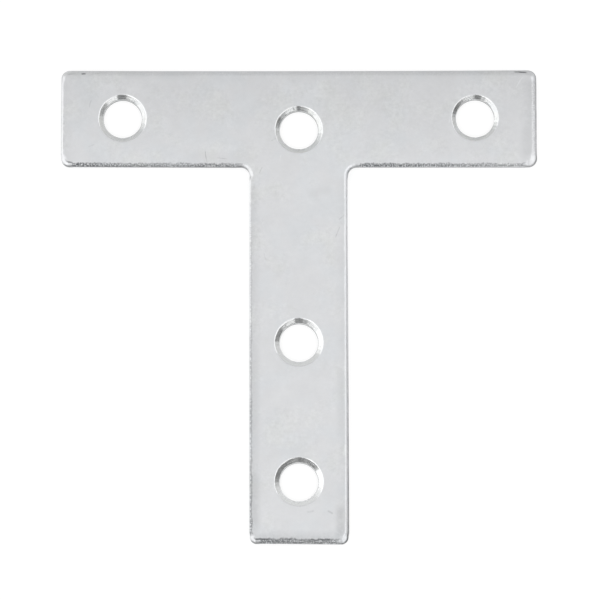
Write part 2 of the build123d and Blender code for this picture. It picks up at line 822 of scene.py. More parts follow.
    def _edge_band(self, sheet: MeshSheet, walk: EdgeWalk) -> list[tuple[Array, Zone]]:
        """Builds the band from the front face over the roll and down to the back face.

        Args:
            sheet: the mesh being gathered.
            walk: the sampled outline.

        Returns:
            The band's rows, from the front face to the back face.
        """
        cuts, along, bevel, foot = walk.cuts, walk.along, walk.cuts["bevel"], walk.cuts["set_in"]
        stray = sum(line.along(along) for line in BORDER_LINES)
        drag = sum(line.along(along) for line in DRAG_LINES)
        reach = np.minimum(cuts["roll_reach"] + cuts["stray"] * stray, walk.room - self.BORDER_ROOM)
        torn = cuts["torn"] * (1.0 - TORN_LINE.size + TORN_LINE.along(along))
        drop = cuts["roll_drop"] * (1.0 + torn * DROP_LINE.along(along))
        bend = 2.0 * np.arctan2(drop, reach)
        radius = reach / np.sin(bend)
        lip = foot + cuts["lean"] * (1.0 + LEAN_LINE.along(along))
        # Painted shade: the dark line in the crease where the roll starts, and the dark line along
        # the lip
        uneven = CREASE_LINE.along(along) + torn * CREASE_BREAKS.along(along)
        crease = np.clip(cuts["crease"] * (self.CREASE_LEVEL + uneven), 0.0, 1.0)
        rim = np.clip(cuts["rim"] * (1.0 - RIM_LINE.size + RIM_LINE.along(along)), 0.0, 1.0)
        top, rows = self.thickness, []

        def row(
            zone: Zone, inset: Array, height: Array, rub: Array | float, rough: float, line: Array
        ) -> None:
            """Adds one row of the band.

            Args:
                zone: the surface from here to the next row.
                inset: distances in from the outline.
                height: heights over the back face.
                rub: how bright it is rubbed, from 0 to 1.
                rough: how much of the torn look it takes.
                line: how dark it is drawn with painted shade, and with dark flecks beside torn
                    cuts.
            """
            flat = walk.points - walk.outward * inset[:, None]
            dented = (height > top / 2) & (flat[:, 1] > self.blank.high.y - self.NICK_STRIP)
            for nick in NICKS:
                height = height - np.where(dented, nick.fall(flat[:, 0], inset - foot), 0.0)
            values = {"along": along, "inset": inset, "torn": torn * rough, "lip": rub}
            places = np.column_stack([flat, height])
            rows.append((sheet.add_points(places, line=line, **values), zone))

        for extra, glint in self.FACE_ROWS:
            inset = np.minimum(lip + reach + extra, walk.room - self.ROW_ROOM * (1 - extra))
            fleck = torn * glint * FLECK_LINE.along(along + self.FLECK_SHIFT * extra)
            # Painted shade on the face beside the roll, with dark flecks beside torn cuts
            line = self._shade(inset, cuts) + np.maximum(fleck, 0.0)
            rub = self.BORDER_RUB * glint * torn
            row(Zone.FACE, inset, top - self._sag(inset, cuts), rub, 0.0, line)
        for step in range(self.arc_rows + 1):
            share = step / self.arc_rows
            turned = bend * share
            out = np.maximum(reach - radius * np.sin(turned), 0.0)
            inset = lip + out + bevel * (reach * (1.0 - share) - out)
            fall = radius * (1.0 - np.cos(turned))
            flat_fall = drop * sum(part * share**power for part, power in self.BEVEL_FALL)
            fall = fall + bevel * (flat_fall - fall)
            swell = math.sin(math.pi * min(share * 1.1, 0.9))
            ridge = np.minimum(cuts["ridge"] * (drag - self.DRAG_LEVEL) * swell, 0.0)
            # Painted shade over the roll: the crease line, the lip line and the strip just inside
            # the roll
            line = crease * max(0.0, 1.0 - abs(share - self.CREASE_AT) / self.CREASE_AT)
            lip_share = (share - self.LIP_LINE_AT) / self.LIP_LINE_OVER
            line = line + rim * min(1.0, max(0.0, lip_share)) + cuts["shade"] * (1.0 - share)
            zone = Zone.FACE if step < self.arc_rows else Zone.WALL
            height = top - self._sag(inset, cuts) - fall + ridge
            rough = min(1.0, self.ROLL_ROUGH + self.ROLL_ROUGHENS * share)
            row(zone, inset, height, 0.0, rough, line)
        lip_height = top - self._sag(lip, cuts) - drop
        for step in range(1, self.wall_rows + 1):
            share = step / self.wall_rows
            height = lip_height * (1 - share) + self.back_break * share
            grained = self.CLEAN_GRAIN + (1.0 - self.CLEAN_GRAIN) * torn
            grain = self.wall_grain * (1.0 + drag) * share * grained
            inset = lip * (1 - share) + foot * share + np.maximum(grain, 0.0)
            # The painted lip shade runs on down the wall, dying out towards the back
            row(Zone.WALL, inset, height, 1.0 - share, self.WALL_ROUGH, rim * (1.0 - share))
        clear = np.zeros_like(reach)
        for inward, high, rub, rough, zone in self.BREAK_ROWS:
            inset = foot + self.back_break * inward
            row(zone, inset, clear + self.back_break * high, rub, rough, clear)
        row(Zone.BACK, foot + self.back_break + self.BACK_MARGIN, clear, 0.0, 0.0, clear)
        sheet.add_band(rows)
        return rows

    def _hole_band(self, sheet: MeshSheet, hole: ScrewHole) -> list[tuple[Array, Zone]]:
        """Builds one countersunk hole, from the front face down to the back face.

        Args:
            sheet: the mesh being gathered.
            hole: the hole.

        Returns:
            The band's rows, from the front face to the back face.
        """
        angles = np.linspace(0.0, 2 * math.pi, self.hole_steps, endpoint=False)
        random = np.random.default_rng(hole.seed)
        chatter = np.zeros_like(angles)
        for lobes in self.CHATTER_LOBES:
            size = self.CHATTER / lobes**self.CHATTER_FALL
            chatter += random.normal(0.0, size) * np.cos(lobes * angles + random.uniform(0, 6.28))
        seat, bore, top, land = hole.seat_radius, hole.bore_radius, self.thickness, hole.land
        rows = []

        def ring(
            zone: Zone, radius: Array, height: Array, lip: float, line: float, turned: float = 0.0
        ) -> None:
            """Adds one ring of the hole.

            Args:
                zone: the surface from here to the next ring.
                radius: its radius.
                height: its height over the back face.
                lip: how near a lip it is, from 0 to 1.
                line: how dark its painted shade is, or, below 0, how much painted brightening it
                    takes.
                turned: how much of the cutter's rings it takes.
            """
            flat = [hole.x + radius * np.cos(angles), hole.y + radius * np.sin(angles)]
            values = {"along": angles * seat, "inset": radius, "lip": lip, "line": line}
            places = np.column_stack([*flat, height])
            rows.append((sheet.add_points(places, torn=turned, **values), zone))

        round_ring = np.ones_like(angles)
        for beyond, rattle, depth, lip, zone in self.RIM_ROWS:
            ring(zone, seat + beyond + rattle * chatter, (top - depth) * round_ring, lip, 0.0)
        width, slope = seat - bore, math.tan(math.radians(hole.seat_slope))
        for number, share in enumerate(self.SEAT_STEPS):
            waver_seed = hole.seed * self.WAVER_SEEDS + number
            waver = Wander(self.WAVER_PITCH, waver_seed, self.WAVER).along(angles * seat)
            height = top - width * share * slope + self.GROOVE * (-1) ** number + waver
            radius = seat - width * share + chatter * min(1.0, self.CHATTER_END * (1 - share))
            # The seat's rings take painted brightening, given as a line value below 0
            ring(Zone.SEAT, radius, height, 0.0, -hole.shine, 0.5)
        last = top - width * self.SEAT_STEPS[-1] * slope
        # The seat's foot, then the bore's mouth and its upper and middle parts; their line values
        # are painted shade: a dark ring at the seat's foot and a darkened bore
        foot_rows = (
            (Zone.SEAT, width * 0.035, last + 0.45 * (land - last), 0.0, 0.3),
            (Zone.WALL, 0.0, land, 0.0, 0.75),
            (Zone.WALL, 0.0, land - 0.06, 0.2, 0.8),
            (Zone.WALL, 0.0, land * 0.5, 0.0, 0.8),
        )
        for zone, beyond, height, lip, line in foot_rows:
            ring(zone, (bore + beyond) * round_ring, height * round_ring, lip, line)
        for beyond, height, lip, line, zone in self.BACK_RIM_ROWS:
            ring(zone, (bore + beyond) * round_ring, height * round_ring, lip, line)
        sheet.add_band(rows)
        return rows

    def _face(self, sheet: MeshSheet, walk: EdgeWalk, rims: list[Array], front: bool) -> None:
        """Fills one face between the edge band and the holes.

        Args:
            sheet: the mesh being gathered.
            walk: the sampled outline.
            rims: vertex numbers of the rows that bound the face, the edge band's first.
            front: True for the front face, False for the back.
        """
        loops = [rims[0][::-1], *rims[1:]]
        rim_numbers = np.concatenate(loops)
        rim_places = np.concatenate(sheet.points)[rim_numbers, :2]
        inner, near, inset = self._inner_points(walk, rim_places, front)
        if front:
            cuts = {name: values[near] for name, values in walk.cuts.items()}
            heights = self.thickness - self._sag(inset, cuts) - self._roll(inset, cuts)
            # Painted shade on the face beside the roll
            line = self._shade(inset, cuts)
        else:
            heights = line = np.zeros(len(inner))
        places = np.column_stack([inner, heights])
        numbers = sheet.add_points(places, along=walk.along[near], inset=inset, line=line)
        every = np.concatenate([rim_numbers, numbers])
        flat = np.concatenate([rim_places, inner])
        ends = np.cumsum([len(loop) for loop in loops]).tolist()
        outlines = [list(range(*span)) for span in zip([0, *ends], ends)]
        _, _, triangles, origins, _, owners = geometry.delaunay_2d_cdt(
            list(map(Vector, flat.tolist())), [], outlines, self.IN_OUTLINES, self.TOLERANCE, True
        )
        source = np.array([every[found[0]] for found in origins])
        in_metal = [triangle for triangle, owner in zip(triangles, owners) if owner == [0]]
        chosen = source[np.array(in_metal)]
        if front:
            sheet.add_faces(chosen, Zone.FACE)
        else:
            sheet.add_faces(chosen[:, ::-1], Zone.BACK)

    def _inner_points(
        self, walk: EdgeWalk, rim_places: Array, front: bool
    ) -> tuple[Array, Array, Array]:
        """Scatters the face's own points: rows beside the cut, then an open grid.

        Args:
            walk: the sampled outline.
            rim_places: places of the rows that bound the face.
            front: True for the front face.

        Returns:
            The points, the number of the outline point nearest each, and their insets.
        """
        plan, border = FRONT_SCATTER if front else BACK_SCATTER, self._roll_border(walk.cuts)
        wanted = []
        for extra, every in plan.rows:
            inset = (border + extra)[::every, None]
            wanted.append(walk.points[::every] - walk.outward[::every] * inset)
        xs = np.arange(self.blank.low.x + plan.margin, self.blank.high.x, plan.pitch)
        ys = np.arange(self.blank.low.y + plan.margin, self.blank.high.y, plan.pitch)
        grid = np.stack(np.meshgrid(xs, ys), axis=-1).reshape(-1, 2)
        random = np.random.default_rng(plan.seed)
        shift = random.uniform(-plan.jitter, plan.jitter, grid.shape) * plan.pitch
        spots = np.concatenate([*wanted, grid + shift])
        in_grid = np.arange(len(spots)) >= len(spots) - len(grid)
        away = spots[:, None, :] - walk.points[None, ::2, :]
        distance = np.einsum("ijk,ijk->ij", away, away)
        near = distance.argmin(axis=1) * 2
        inset = np.sqrt(distance.min(axis=1))
        kept_from = border[near] if front else 0.0
        keep = inset > kept_from + plan.least
        keep &= self._in_outline(spots, walk.points)
        to_rim = spots[:, None, :] - rim_places[None, ::2]
        rim_gap = np.einsum("ijk,ijk->ij", to_rim, to_rim).min(axis=1)
        keep &= rim_gap > (plan.rim_gap * plan.pitch) ** 2
        for hole in self.holes:
            from_hole = np.hypot(spots[:, 0] - hole.x, spots[:, 1] - hole.y)
            keep &= from_hole > hole.seat_radius + plan.hole_gap
        keep &= ~in_grid | (inset > plan.open_from)
        single = np.unique(spots.round(4), axis=0, return_index=True)[1]
        keep &= np.isin(np.arange(len(spots)), single)
        return spots[keep], near[keep], inset[keep]

    @staticmethod
    def _in_outline(spots: Array, loop: Array) -> Array:
        """Counts the loop's crossings to say which spots lie inside it.

        Args:
            spots: places to test.
            loop: the closed loop's points.

        Returns:
            True for each spot inside.
        """
        inside = np.zeros(len(spots), bool)
        x, y = spots[:, 0], spots[:, 1]
        for (ax, ay), (bx, by) in zip(loop, np.roll(loop, -1, axis=0)):
            if ay == by:
                continue
            crosses = (ay > y) != (by > y)
            inside ^= crosses & (x < (bx - ax) * (y - ay) / (by - ay) + ax)
        return inside


# ---------------------------------------------------------------------------
# Finishes
# ---------------------------------------------------------------------------


@dataclass
class NodeBench:
    """Places and joins shader nodes in one tree.

    Attributes:
        tree: the tree that the nodes go in.
    """

    tree: Tree

    def node(self, kind: str, **settings: object) -> bpy.types.Node:
        """Adds a node.

        Args:
            kind: Blender's name for the node type.
            **settings: properties to set on it.

        Returns:
            The node.
        """
        made = self.tree.nodes.new(kind)
        for name, value in settings.items():
            setattr(made, name, value)
        return made

    def feed(self, socket: Socket, value: Given) -> None:
        """Joins a socket to another, or sets its value.

        Args:
            socket: the input.
            value: another node's output, or a plain value.
        """
        if isinstance(value, Socket):
            self.tree.links.new(value, socket)
        else:
            socket.default_value = value

    def fed(self, made: bpy.types.Node, values: dict[str | int, Given]) -> bpy.types.Node:
        """Feeds several of a node's inputs.

        Args:
            made: the node.
            values: sockets or plain values, by the input's name or number.

        Returns:
            The same node.
        """
        for name, value in values.items():
            self.feed(made.inputs[name], value)
        return made

    def group(self, tree: Tree, values: dict[str | int, Given]) -> bpy.types.Node:
        """Places a node group and feeds its inputs."""
        return self.fed(self.node("ShaderNodeGroup", node_tree=tree), values)

    def math(self, operation: str, *values: Given, clamp: bool = False) -> Socket:
        """Adds a Math node for an operation, and gives its result."""
        made = self.node("ShaderNodeMath", operation=operation, use_clamp=clamp)
        return self.fed(made, dict(enumerate(values))).outputs[0]

    def remap(self, value: Given, *ends: Given) -> Socket:
        """Adds a smooth Map Range node.

        Args:
            value: what is mapped.
            *ends: low and high ends of its range, then of the range that it is mapped to.

        Returns:
            The mapped value.
        """
        made = self.node("ShaderNodeMapRange", interpolation_type="SMOOTHSTEP")
        names = ("Value", "From Min", "From Max", "To Min", "To Max")
        return self.fed(made, dict(zip(names, (value, *ends)))).outputs["Result"]

    def blend(self, share: Given, first: Given, second: Given) -> Socket:
        """Adds a colour Mix node, where share is how much of the second colour shows."""
        made = self.node("ShaderNodeMix", data_type="RGBA")
        return self.fed(made, {"Factor": share, 6: first, 7: second}).outputs[2]

    def noise(
        self, vector: Given, scale: Given, detail: float, roughness: float = 0.5
    ) -> Socket:
        """Adds a Noise Texture node and gives its value."""
        values = {"Vector": vector, "Scale": scale, "Detail": detail, "Roughness": roughness}
        return self.fed(self.node("ShaderNodeTexNoise"), values).outputs["Fac"]

    def scaled(self, vector: Given, scale: Given) -> Socket:
        """Multiplies a vector or a colour by a number, with a Vector Math node."""
        made = self.node("ShaderNodeVectorMath", operation="SCALE")
        return self.fed(made, {0: vector, "Scale": scale}).outputs[0]

    def place(self) -> Socket:
        """Gives the surface point in millimetres."""
        return self.scaled(self.node("ShaderNodeTexCoord").outputs["Object"], 1.0 / MM)

    def stretch(
        self,
        vector: Given,
        scale: tuple[float, float, float] = (1.0, 1.0, 1.0),
        turn: float = 0.0,
        start: tuple[float, float] = (0.0, 0.0),
    ) -> Socket:
        """Moves, turns and stretches a pattern, with a Mapping node.

        Args:
            vector: where the pattern is read.
            scale: how much longer it becomes along each axis.
            turn: how far it turns about Z, in radians.
            start: where its origin moves to.

        Returns:
            The new vector.
        """
        made = self.node("ShaderNodeMapping", vector_type="TEXTURE")
        values = {"Vector": vector, "Rotation": (0.0, 0.0, turn), "Scale": scale}
        return self.fed(made, {**values, "Location": (*start, 0.0)}).outputs[0]

    def split(self, vector: Given) -> tuple[Socket, Socket]:
        """Gives a vector's X and Y."""
        made = self.fed(self.node("ShaderNodeSeparateXYZ"), {0: vector})
        return made.outputs["X"], made.outputs["Y"]

    def value_of(self, name: str) -> Socket:
        """Reads one of the mesh's point values."""
        return self.node("ShaderNodeAttribute", attribute_name=name).outputs["Fac"]

    def mix_shaders(self, share: Given, first: Socket, second: Socket) -> Socket:
        """Mixes two shaders by the second one's share."""
        made = self.node("ShaderNodeMixShader")
        return self.fed(made, {0: share, 1: first, 2: second}).outputs[0]

    def surface(self, shader: Socket) -> None:
        """Joins a shader to the material's output."""
        self.fed(self.node("ShaderNodeOutputMaterial"), {"Surface": shader})


def start_material(name: str) -> tuple[bpy.types.Material, NodeBench]:
    """Makes an empty material.

    Args:
        name: name of the material.

    Returns:
        The material, and a bench for its nodes.
    """
    made = bpy.data.materials.new(name)
    made.use_nodes = True
    made.node_tree.nodes.clear()
    return made, NodeBench(made.node_tree)


class GroupBench(NodeBench):
    """A bench for a new shader node group with named inputs and outputs."""

    def __init__(self, name: str, inputs: dict[str, Given], outputs: tuple[str, ...]) -> None:
        """Makes the group and its sockets.

        Args:
            name: name of the group.
            inputs: starting values by socket name; a colour has four numbers.
            outputs: names of its sockets, of which Colour is a colour.
        """
        super().__init__(bpy.data.node_groups.new(name, "ShaderNodeTree"))
        for socket_name, start in inputs.items():
            self._new_socket(socket_name, "INPUT", isinstance(start, tuple)).default_value = start
        for socket_name in outputs:
            self._new_socket(socket_name, "OUTPUT", socket_name == "Colour")
        self.given = self.node("NodeGroupInput").outputs
        self.result = self.node("NodeGroupOutput").inputs

    def _new_socket(
        self, name: str, side: str, coloured: bool
    ) -> bpy.types.NodeTreeInterfaceSocket:
        """Makes a socket on the group's INPUT or OUTPUT side: a colour, or else a number."""
        kind = "NodeSocketColor" if coloured else "NodeSocketFloat"
        return self.tree.interface.new_socket(name, in_out=side, socket_type=kind)


class SurfaceEffects:
    """The effects that the plate's finishes share, each a node group built once."""

    # Turn and length of the rubs in each direction
    RUBS = ((0.5, 7.0), (-0.9, 9.0), (1.9, 6.0))

    def __init__(self) -> None:
        """Builds every group."""
        self.cloud = self._plating_cloud()
        self.grain = self._fine_grain()
        self.rubs = self._rub_marks()
        self.scratches = self._marks("scratches", SCRATCHES_AND_PAINTED_GLINT, 1.6)
        self.smudges = self._marks("smudges", PAINTED_SHADING_AND_SMUDGES, 1.7)
        self.drag = self._drag_lines()
        self.wear = self._edge_wear()

    @staticmethod
    def _plating_cloud() -> Tree:
        """Builds the faint clouding and tint of a zinc bath, and painted shade that darkens the
        bar's upper part.

        Returns:
            The node group.
        """
        inputs = {
            "Metal": (0.76, 0.77, 0.78, 1.0),
            "Cool Tint": (0.72, 0.77, 0.80, 1.0),
            "Warm Tint": (0.78, 0.77, 0.75, 1.0),
            "Cloud Size": 9.0,
            "Tint": 0.5,
            "Shade": 0.06,
            "Speck": 0.05,
            "Fade": 0.0,
        }
        bench = GroupBench("plating_cloud", inputs, ("Colour",))
        given, place = bench.given, bench.place()
        scale = bench.math("DIVIDE", 1.0, given["Cloud Size"])
        broad = bench.noise(place, scale, 2.0)
        other = bench.noise(bench.stretch(place, turn=0.9), scale, 2.0)
        cool = bench.math("MULTIPLY", bench.remap(broad, 0.42, 0.66, 0.0, 1.0), given["Tint"])
        warm = bench.math("MULTIPLY", bench.remap(other, 0.50, 0.70, 0.0, 1.0), given["Tint"])
        tinted = bench.blend(cool, given["Metal"], given["Cool Tint"])
        tinted = bench.blend(warm, tinted, given["Warm Tint"])
        fine = bench.noise(place, bench.math("MULTIPLY", scale, 1.6), 4.0, 0.6)
        shade = bench.math("SUBTRACT", fine, 0.5)
        shade = bench.math("MULTIPLY_ADD", shade, given["Shade"], 1.0)
        small = bench.math("SUBTRACT", bench.noise(place, 1.7, 4.0, 0.6), 0.5)
        patchy = bench.remap(other, 0.42, 0.62, 0.45, 1.9)
        small = bench.math("MULTIPLY", small, patchy)
        shade = bench.math("MULTIPLY_ADD", small, given["Speck"], shade)
        # Painted shade: darker towards the bar's top
        _, height = bench.split(place)
        upper = bench.remap(height, -8.0, 10.0, 0.0, 1.0)
        shade = bench.math("SUBTRACT", shade, bench.math("MULTIPLY", upper, given["Fade"]))
        bench.feed(bench.result["Colour"], bench.scaled(tinted, shade))
        return bench.tree

    @staticmethod
    def _fine_grain() -> Tree:
        """Builds the fine grain of the rolled sheet under the plating.

        Returns:
            The node group.
        """
        bench = GroupBench("fine_grain", {"Grain Size": 0.12, "Rolling": 0.35}, ("Grain",))
        place = bench.place()
        scale = bench.math("DIVIDE", 1.0, bench.given["Grain Size"])
        speck = bench.noise(place, scale, 3.0, 0.6)
        rolled = bench.noise(bench.stretch(place, (9.0, 0.45, 1.0)), scale, 2.0)
        both = bench.node("ShaderNodeMix", data_type="FLOAT")
        bench.fed(both, {"Factor": bench.given["Rolling"], 2: speck, 3: rolled})
        bench.feed(bench.result["Grain"], both.outputs[0])
        return bench.tree

    @classmethod
    def _rub_marks(cls) -> Tree:
        """Builds short thin rubs, as parts get from each other in a tumbler.

        Returns:
            The node group.
        """
        bench = GroupBench("rub_marks", {"Amount": 0.3, "Spacing": 3.0}, ("Rubs",))
        place, most = bench.place(), 0.0
        scale = bench.math("DIVIDE", 1.0, bench.given["Spacing"])
        for turn, length in cls.RUBS:
            drawn = bench.noise(bench.stretch(place, (length, 0.16, 1.0), turn), scale, 2.0)
            ridge = bench.math("ABSOLUTE", bench.math("SUBTRACT", drawn, 0.5))
            line = bench.remap(ridge, 0.0, 0.012, 1.0, 0.0)
            patch = bench.noise(bench.stretch(place, turn=turn), scale, 1.0)
            line = bench.math("MULTIPLY", line, bench.remap(patch, 0.55, 0.68, 0.0, 1.0))
            most = bench.math("MAXIMUM", most, line)
        bench.feed(bench.result["Rubs"], bench.math("MULTIPLY", most, bench.given["Amount"]))
        return bench.tree

    @staticmethod
    def _marks(name: str, marks: tuple[Mark, ...], fineness: float) -> Tree:
        """Builds single marks on the face: scratch and smudge marks, and soft patches of painted
        light and painted shade.

        Args:
            name: name of the node group.
            marks: the marks.
            fineness: how finely they are broken up, in turns to the millimetre.

        Returns:
            The node group, which gives the bright marks and the dark ones.
        """
        bench = GroupBench(name, {"Amount": 1.0}, ("Bright", "Dark"))
        place, totals = bench.place(), {"Bright": 0.0, "Dark": 0.0}
        for mark in marks:
            local = bench.stretch(place, turn=math.radians(mark.turn), start=(mark.x, mark.y))
            x, y = bench.split(local)
            bowed = bench.math("MULTIPLY_ADD", bench.math("MULTIPLY", x, x), mark.bow, y)
            half = mark.length / 2
            drawn = bench.remap(bench.math("ABSOLUTE", bowed), 0.0, mark.width, 1.0, 0.0)
            ended = bench.remap(bench.math("ABSOLUTE", x), 0.5 * half, half, 1.0, 0.0)
            drawn = bench.math("MULTIPLY", drawn, abs(mark.tone))
            drawn = bench.math("MULTIPLY", drawn, ended)
            side = "Bright" if mark.tone > 0 else "Dark"
            totals[side] = bench.math("MAXIMUM", totals[side], drawn)
        broken = bench.remap(bench.noise(place, fineness, 3.0), 0.3, 0.6, 0.3, 1.0)
        for side, total in totals.items():
            total = bench.math("MULTIPLY", total, broken)
            total = bench.math("MULTIPLY", total, bench.given["Amount"])
            bench.feed(bench.result[side], total)
        return bench.tree

    @staticmethod
    def _drag_lines() -> Tree:
        """Builds the lines that the punch drags down the cut, from distance along the edge.

        Returns:
            The node group.
        """
        inputs = {"Along": 0.0, "Down": 0.0, "Line Pitch": 0.2, "Break Up": 0.6}
        bench = GroupBench("drag_lines", inputs, ("Lines", "Height"))
        given, joined = bench.given, bench.node("ShaderNodeCombineXYZ")
        bench.feed(joined.inputs["X"], bench.math("DIVIDE", given["Along"], given["Line Pitch"]))
        bench.feed(joined.inputs["Y"], bench.math("MULTIPLY", given["Down"], given["Break Up"]))
        drawn = bench.noise(joined.outputs[0], 1.0, 3.0, 0.65)
        bench.feed(bench.result["Lines"], bench.remap(drawn, 0.42, 0.54, 0.0, 1.0))
        bench.feed(bench.result["Height"], drawn)
        return bench.tree

    @staticmethod
    def _edge_wear() -> Tree:
        """Builds the bright rubbed line along lips and rims.

        Returns:
            The node group.
        """
        bench = GroupBench("edge_wear", {"Lip": 0.0, "Amount": 0.5, "Patch Size": 1.5}, ("Wear",))
        scale = bench.math("DIVIDE", 1.0, bench.given["Patch Size"])
        patch = bench.remap(bench.noise(bench.place(), scale, 3.0), 0.35, 0.65, 0.2, 1.0)
        near = bench.remap(bench.given["Lip"], 0.55, 1.0, 0.0, 1.0)
        brightening = bench.math("MULTIPLY", bench.math("MULTIPLY", near, patch), bench.given["Amount"])
        bench.feed(bench.result["Wear"], brightening)
        return bench.tree


@dataclass(frozen=True)
class PlatedFinish:
    """Zinc plating on one of the plate's surfaces.

    Attributes:
        name: name of the material.
        metal: colour of the plating.
        cool: its bluish tint.
        warm: its greenish or yellowish tint.
        tint: how strongly the tints show.
        shade: how much the tone clouds.
        speck: how much the tone varies from speck to speck.
        cloud_size: size of the clouds.
        gloss: roughness where the plating is smoothest.
        dull: roughness where it is dullest.
        grain_size: size of the grain.
        grain_height: height of the grain.
        torn_metal: colour of the torn, streaked metal.
        line_pitch: spacing of the drag lines.
        line_height: height of the drag lines.
        wear: how bright the lips and rims are rubbed.
        fade: how much painted shade darkens the bar's upper part.
        rolling: how far the grain follows the rolling direction.
        rubs: how strongly rub marks show.
        marked: how strongly the single marks show: scratch and smudge marks, and painted light and
            painted shade.
        torn_share: how much of the torn value shows here.
        break_up: how short the drag lines are.
        wear_patch: size of the patches that the rubbing leaves.
        line_metal: colour of the painted shade in creases, along lips and beside the roll, and of
            the dark marks.
        line_speck: how much more the tone varies in the dark lines.
        rubbed_tone: how many times brighter rubbed metal is.
        rub_share: how much of the rubbed metal shows in the rub marks.
        rough_step: how much rougher torn metal is, and how much smoother rubbed metal is.
    """

    name: str
    metal: tuple[float, float, float]
    cool: tuple[float, float, float]
    warm: tuple[float, float, float]
    tint: float
    shade: float
    speck: float
    cloud_size: float
    gloss: float
    dull: float
    grain_size: float
    grain_height: float
    torn_metal: tuple[float, float, float]
    line_pitch: float
    line_height: float
    wear: float
    fade: float = 0.0
    rolling: float = 0.0
    rubs: float = 0.0
    scratched: float = 0.0
    torn_share: float = 1.0
    break_up: float = 3.0
    wear_patch: float = 1.5
    line_metal: tuple[float, float, float] = (0.10, 0.105, 0.11)
    line_speck: float = 0.9
    rubbed_tone: float = 1.15
    rub_share: float = 0.5
    rough_step: float = 0.12

    def material(self, effects: SurfaceEffects) -> bpy.types.Material:
        """Builds the material.

        Args:
            effects: the shared node groups.

        Returns:
            The material.
        """
        made, bench = start_material(self.name)
        # The line value darkens with painted shade above 0, and brightens the seats with painted
        # light below 0
        value = bench.value_of("line")
        edge = bench.math("MULTIPLY", value, 1.0, clamp=True)
        shine = bench.math("MULTIPLY", value, -1.0, clamp=True)
        cloud_values = {
            "Metal": (*self.metal, 1.0),
            "Cool Tint": (*self.cool, 1.0),
            "Warm Tint": (*self.warm, 1.0),
            "Cloud Size": self.cloud_size,
            "Tint": self.tint,
            "Shade": self.shade,
            "Speck": bench.math("MULTIPLY_ADD", edge, self.line_speck, self.speck),
            "Fade": self.fade,
        }
        drag_values = {
            "Along": bench.value_of("along"),
            "Down": bench.value_of("inset"),
            "Line Pitch": self.line_pitch,
            "Break Up": self.break_up,
        }
        wear_values = {
            "Lip": bench.value_of("lip"),
            "Amount": self.wear,
            "Patch Size": self.wear_patch,
        }
        grain_values = {"Grain Size": self.grain_size, "Rolling": self.rolling}
        cloud = bench.group(effects.cloud, cloud_values).outputs["Colour"]
        drag = bench.group(effects.drag, drag_values).outputs
        wear = bench.group(effects.wear, wear_values).outputs["Wear"]
        grain = bench.group(effects.grain, grain_values).outputs["Grain"]
        rubs = bench.group(effects.rubs, {"Amount": self.rubs}).outputs["Rubs"]
        torn = bench.math("MULTIPLY", bench.value_of("torn"), self.torn_share, clamp=True)
        streak = bench.math("MULTIPLY", torn, drag["Lines"])
        colour = bench.blend(streak, cloud, (*self.torn_metal, 1.0))
        # Darkening takes the painted shade and the dark marks; brightening takes edge wear, the
        # seats' painted brightening and the bright marks, some of them painted light
        dark, brightening = edge, bench.math("MAXIMUM", wear, shine)
        for marks in (effects.scratches, effects.smudges) if self.scratched else ():
            placed = bench.group(marks, {"Amount": self.scratched}).outputs
            dark = bench.math("ADD", dark, placed["Dark"], clamp=True)
            brightening = bench.math("MAXIMUM", brightening, placed["Bright"])
        # Rubbed metal's brighter colour, which the painted brightening and the bright painted-light
        # marks also take
        rubbed = (*(min(1.0, part * self.rubbed_tone) for part in self.metal), 1.0)
        colour = bench.blend(dark, colour, (*self.line_metal, 1.0))
        colour = bench.blend(brightening, colour, rubbed)
        colour = bench.blend(bench.math("MULTIPLY", rubs, self.rub_share), colour, rubbed)
        rough = bench.remap(grain, 0.35, 0.65, self.gloss, self.dull)
        rough = bench.math("MULTIPLY_ADD", torn, self.rough_step, rough)
        rough = bench.math("MULTIPLY_ADD", wear, -self.rough_step, rough)
        height = bench.math("MULTIPLY", grain, self.grain_height)
        lines = bench.math("MULTIPLY", drag["Height"], torn)
        height = bench.math("MULTIPLY_ADD", lines, self.line_height, height)
        bump = bench.node("ShaderNodeBump")
        bench.fed(bump, {"Strength": 1.0, "Distance": MM, "Height": height})
        shader = bench.node("ShaderNodeBsdfPrincipled")
        looks = {"Base Color": colour, "Metallic": 1.0, "Roughness": rough}
        bench.fed(shader, {**looks, "Normal": bump.outputs["Normal"]})
        bench.surface(shader.outputs["BSDF"])
        return made


FACE_PLATING = PlatedFinish(
    name="satin_zinc_face",
    metal=(0.790, 0.798, 0.812),
    cool=(0.772, 0.798, 0.822),
    warm=(0.792, 0.804, 0.796),
    tint=0.5,
    shade=0.12,
    speck=0.13,
    fade=0.09,
    cloud_size=5.0,
    gloss=0.30,
    dull=0.40,
    grain_size=0.16,
    rolling=0.3,
    grain_height=0.0015,
    rubs=0.3,
    torn_metal=(0.13, 0.14, 0.15),
    line_pitch=0.20,
    line_height=0.04,
    wear=0.7,
    wear_patch=0.30,
    scratched=1.0,
)
WALL_PLATING = PlatedFinish(
    name="sheared_zinc_wall",
    metal=(0.46, 0.465, 0.475),
    cool=(0.42, 0.44, 0.46),
    warm=(0.46, 0.46, 0.44),
    tint=0.4,
    shade=0.12,
    speck=0.10,
    cloud_size=3.0,
    gloss=0.34,
    dull=0.50,
    grain_size=0.10,
    grain_height=0.004,
    torn_metal=(0.40, 0.41, 0.43),
    torn_share=0.8,
    line_pitch=0.16,
    line_height=0.03,
    wear=0.35,
)
